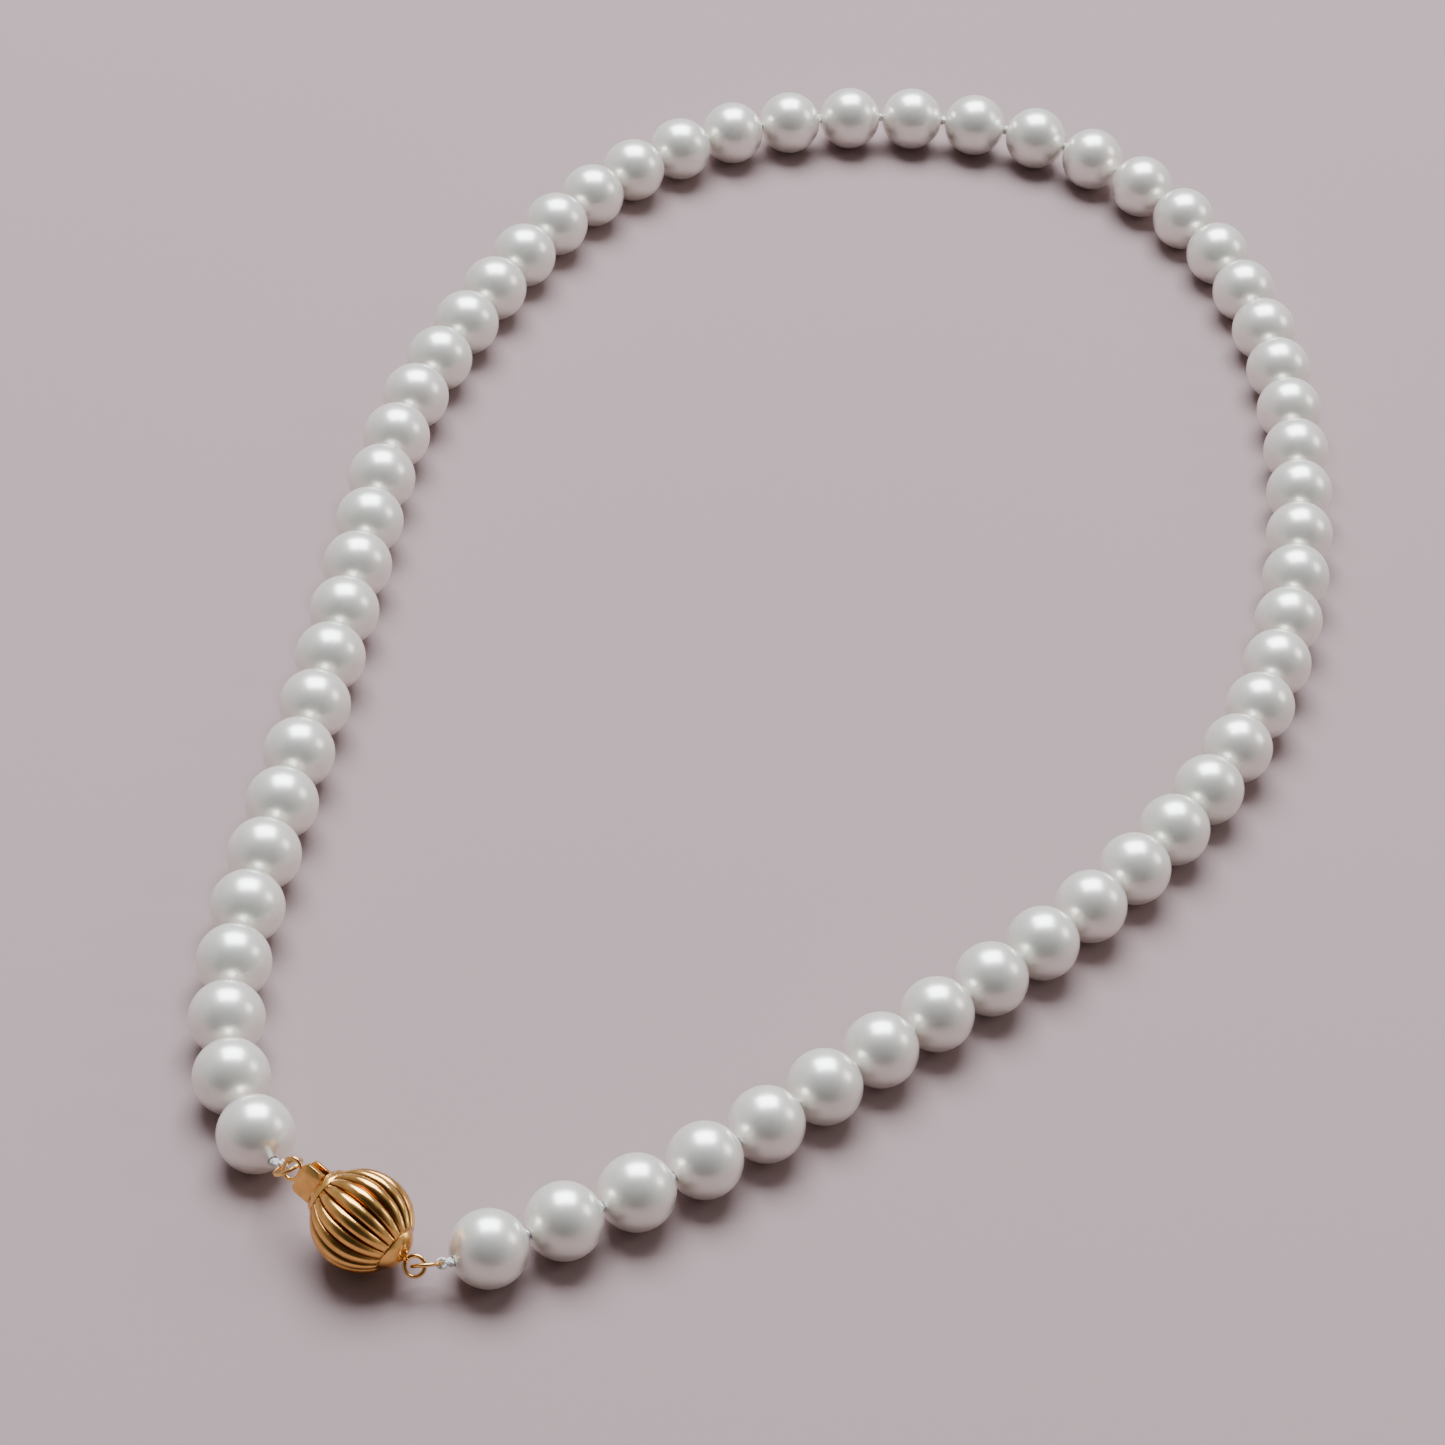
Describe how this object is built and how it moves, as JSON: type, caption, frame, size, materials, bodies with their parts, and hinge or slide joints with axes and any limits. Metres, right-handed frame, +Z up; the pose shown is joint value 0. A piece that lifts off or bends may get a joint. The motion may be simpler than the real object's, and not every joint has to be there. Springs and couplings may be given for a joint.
{
  "type": "pearl necklace",
  "caption": "Single-strand necklace of round pearls, knotted one by one on silk and closed by a fluted gold ball clasp with a push-in spring tongue.",
  "frame": {"origin": "middle of the closed necklace's footprint, on the surface that it lies on", "axes": "+Z up, +Y from the clasp across the neck opening to the front of the strand, +X to the right with the clasp nearest"},
  "size_m": [0.1056, 0.1934, 0.009],
  "materials": {
    "pearl": "satin",
    "silk": "matte",
    "gold": "polished"
  },
  "bodies": {
    "clasp_ball": {"ball_half_mouth": "gold", "ball_half_cap": "gold", "mouth_plate": "gold", "end_cap": "gold", "eye_ring": "gold"},
    "jump_ring_right": {"jump_ring_right": "gold"},
    "silk_loop_right": {"silk_loop_right": "silk"},
    "link_01": {"pearls_01": "pearl", "silk_01": "silk"},
    "link_02": {"pearls_02": "pearl", "silk_02": "silk"},
    "link_03": {"pearls_03": "pearl", "silk_03": "silk"},
    "link_04": {"pearls_04": "pearl", "silk_04": "silk"},
    "link_05": {"pearls_05": "pearl", "silk_05": "silk"},
    "link_06": {"pearls_06": "pearl", "silk_06": "silk"},
    "link_07": {"pearls_07": "pearl", "silk_07": "silk"},
    "link_08": {"pearls_08": "pearl", "silk_08": "silk"},
    "link_09": {"pearls_09": "pearl", "silk_09": "silk"},
    "link_10": {"pearls_10": "pearl", "silk_10": "silk"},
    "link_11": {"pearls_11": "pearl", "silk_11": "silk"},
    "link_12": {"pearls_12": "pearl", "silk_12": "silk"},
    "link_13": {"pearls_13": "pearl", "silk_13": "silk"},
    "link_14": {"pearls_14": "pearl", "silk_14": "silk"},
    "link_15": {"pearls_15": "pearl", "silk_15": "silk"},
    "link_16": {"pearls_16": "pearl", "silk_16": "silk"},
    "link_17": {"pearls_17": "pearl", "silk_17": "silk"},
    "link_18": {"pearls_18": "pearl", "silk_18": "silk"},
    "link_19": {"pearls_19": "pearl", "silk_19": "silk"},
    "link_20": {"pearls_20": "pearl", "silk_20": "silk"},
    "silk_loop_left": {"silk_loop_left": "silk"},
    "jump_ring_left": {"jump_ring_left": "gold"},
    "tongue": {"tongue_base": "gold", "tongue_ring": "gold"},
    "tongue_spring": {"tongue_spring": "gold", "thumb_tab": "gold"}
  },
  "joints": [
    {"name": "jump_ring_right_roll", "type": "hinge", "parent": "clasp_ball", "child": "jump_ring_right", "pos_m": [-0.02798, -0.09531, 0.00304], "axis": [0.9744, 0.1676, 0.1498], "range_deg": [-15, 15]},
    {"name": "silk_on_right_ring", "type": "hinge", "parent": "jump_ring_right", "child": "silk_loop_right", "pos_m": [-0.02572, -0.09492, 0.00339], "axis": [0.9744, 0.1676, 0.1498], "range_deg": [-15, 15]},
    {"name": "strand_open", "type": "hinge", "parent": "silk_loop_right", "child": "link_01", "pos_m": [-0.025, -0.0948, 0.0035], "axis": [0.2074, -0.1246, 0.9703], "range_deg": [0, 16], "deforming": ["tongue_spring"]},
    {"name": "knot_03_bend", "type": "hinge", "parent": "link_01", "child": "link_02", "pos_m": [-0.00726, -0.08156, 0.0035], "axis": [0.2074, -0.1246, 0.9703], "range_deg": [0, 7.32]},
    {"name": "knot_06_bend", "type": "hinge", "parent": "link_02", "child": "link_03", "pos_m": [0.00759, -0.06517, 0.0035], "axis": [0.2074, -0.1246, 0.9703], "range_deg": [0, 3.18]},
    {"name": "knot_09_bend", "type": "hinge", "parent": "link_03", "child": "link_04", "pos_m": [0.022, -0.04836, 0.0035], "axis": [0.2074, -0.1246, 0.9703], "range_deg": [-2.97, 0]},
    {"name": "fold_outer", "type": "hinge", "parent": "link_04", "child": "link_05", "pos_m": [0.03469, -0.03024, 0.0035], "axis": [0.9333, -0.359, 0], "range_deg": [0, 25]},
    {"name": "knot_15_bend", "type": "hinge", "parent": "link_05", "child": "link_06", "pos_m": [0.04397, -0.01018, 0.0035], "axis": [0.2074, -0.1246, 0.9703], "range_deg": [-9.35, 0]},
    {"name": "fold_middle", "type": "hinge", "parent": "link_06", "child": "link_07", "pos_m": [0.04855, 0.01145, 0.0035], "axis": [0.9367, -0.35, 0], "range_deg": [0, 25]},
    {"name": "knot_21_bend", "type": "hinge", "parent": "link_07", "child": "link_08", "pos_m": [0.04943, 0.03355, 0.0035], "axis": [0.2074, -0.1246, 0.9703], "range_deg": [-12.63, 0]},
    {"name": "fold_inner", "type": "hinge", "parent": "link_08", "child": "link_09", "pos_m": [0.0468, 0.05551, 0.0035], "axis": [0.9236, -0.3833, 0], "range_deg": [0, 25]},
    {"name": "knot_27_bend", "type": "hinge", "parent": "link_09", "child": "link_10", "pos_m": [0.03902, 0.07613, 0.0035], "axis": [0.2074, -0.1246, 0.9703], "range_deg": [-12.07, 0]},
    {"name": "knot_30_bend", "type": "hinge", "parent": "link_10", "child": "link_11", "pos_m": [0.02296, 0.09095, 0.0035], "axis": [0.2074, -0.1246, 0.9703], "range_deg": [-8.79, 0]},
    {"name": "knot_33_bend", "type": "hinge", "parent": "link_11", "child": "link_12", "pos_m": [0.00117, 0.09215, 0.0035], "axis": [0.2074, -0.1246, 0.9703], "range_deg": [-4.17, 0]},
    {"name": "fold_inner_far_knot", "type": "hinge", "parent": "link_12", "child": "link_13", "pos_m": [-0.01863, 0.08266, 0.0035], "axis": [0.9236, -0.3833, 0], "range_deg": [-25, 0]},
    {"name": "knot_39_bend", "type": "hinge", "parent": "link_13", "child": "link_14", "pos_m": [-0.03193, 0.06513, 0.0035], "axis": [0.2074, -0.1246, 0.9703], "range_deg": [0, 0.506]},
    {"name": "fold_middle_far_knot", "type": "hinge", "parent": "link_14", "child": "link_15", "pos_m": [-0.03986, 0.04448, 0.0035], "axis": [0.9367, -0.35, 0], "range_deg": [-25, 0]},
    {"name": "knot_45_bend", "type": "hinge", "parent": "link_15", "child": "link_16", "pos_m": [-0.04516, 0.02301, 0.0035], "axis": [0.2074, -0.1246, 0.9703], "range_deg": [0, 3.43]},
    {"name": "fold_outer_far_knot", "type": "hinge", "parent": "link_16", "child": "link_17", "pos_m": [-0.0463, 0.00091, 0.0035], "axis": [0.9333, -0.359, 0], "range_deg": [-25, 0]},
    {"name": "knot_51_bend", "type": "hinge", "parent": "link_17", "child": "link_18", "pos_m": [-0.04713, -0.02121, 0.0035], "axis": [0.2074, -0.1246, 0.9703], "range_deg": [0, 4.86]},
    {"name": "knot_54_bend", "type": "hinge", "parent": "link_18", "child": "link_19", "pos_m": [-0.04844, -0.04331, 0.0035], "axis": [0.2074, -0.1246, 0.9703], "range_deg": [0, 5.63]},
    {"name": "knot_57_bend", "type": "hinge", "parent": "link_19", "child": "link_20", "pos_m": [-0.04897, -0.06543, 0.0035], "axis": [0.2074, -0.1246, 0.9703], "range_deg": [0, 5.96]},
    {"name": "knot_60_bend", "type": "hinge", "parent": "link_20", "child": "silk_loop_left", "pos_m": [-0.04155, -0.08584, 0.0035], "axis": [0.2074, -0.1246, 0.9703], "range_deg": [0, 3.13]},
    {"name": "jump_ring_left_roll", "type": "hinge", "parent": "silk_loop_left", "child": "jump_ring_left", "pos_m": [-0.04053, -0.08759, 0.00507], "axis": [-0.4, 0.6814, -0.6129], "range_deg": [-15, 15]},
    {"name": "tongue_on_left_ring", "type": "hinge", "parent": "jump_ring_left", "child": "tongue", "pos_m": [-0.03957, -0.08922, 0.00653], "axis": [-0.4, 0.6814, -0.6129], "range_deg": [-15, 15]},
    {"name": "thumb_press", "type": "hinge", "parent": "tongue", "child": "tongue_spring", "pos_m": [-0.03172, -0.09298, 0.00412], "axis": [0.3489, 0.1315, 0.9279], "range_deg": [0, 5], "stiffness_Nm_per_rad": 0.06}
  ],
  "couplings": [
    {"joint": "silk_on_right_ring", "follows": "jump_ring_right_roll", "ratio": -1},
    {"joint": "knot_03_bend", "follows": "strand_open", "ratio": 0.457},
    {"joint": "knot_06_bend", "follows": "strand_open", "ratio": 0.198},
    {"joint": "knot_09_bend", "follows": "strand_open", "ratio": -0.185},
    {"joint": "knot_15_bend", "follows": "strand_open", "ratio": -0.584},
    {"joint": "knot_21_bend", "follows": "strand_open", "ratio": -0.789},
    {"joint": "knot_27_bend", "follows": "strand_open", "ratio": -0.754},
    {"joint": "knot_30_bend", "follows": "strand_open", "ratio": -0.549},
    {"joint": "knot_33_bend", "follows": "strand_open", "ratio": -0.26},
    {"joint": "fold_inner_far_knot", "follows": "fold_inner", "ratio": -1},
    {"joint": "knot_39_bend", "follows": "strand_open", "ratio": 0.031},
    {"joint": "fold_middle_far_knot", "follows": "fold_middle", "ratio": -1},
    {"joint": "knot_45_bend", "follows": "strand_open", "ratio": 0.214},
    {"joint": "fold_outer_far_knot", "follows": "fold_outer", "ratio": -1},
    {"joint": "knot_51_bend", "follows": "strand_open", "ratio": 0.303},
    {"joint": "knot_54_bend", "follows": "strand_open", "ratio": 0.351},
    {"joint": "knot_57_bend", "follows": "strand_open", "ratio": 0.372},
    {"joint": "knot_60_bend", "follows": "strand_open", "ratio": 0.195},
    {"joint": "tongue_on_left_ring", "follows": "jump_ring_left_roll", "ratio": -1}
  ]
}
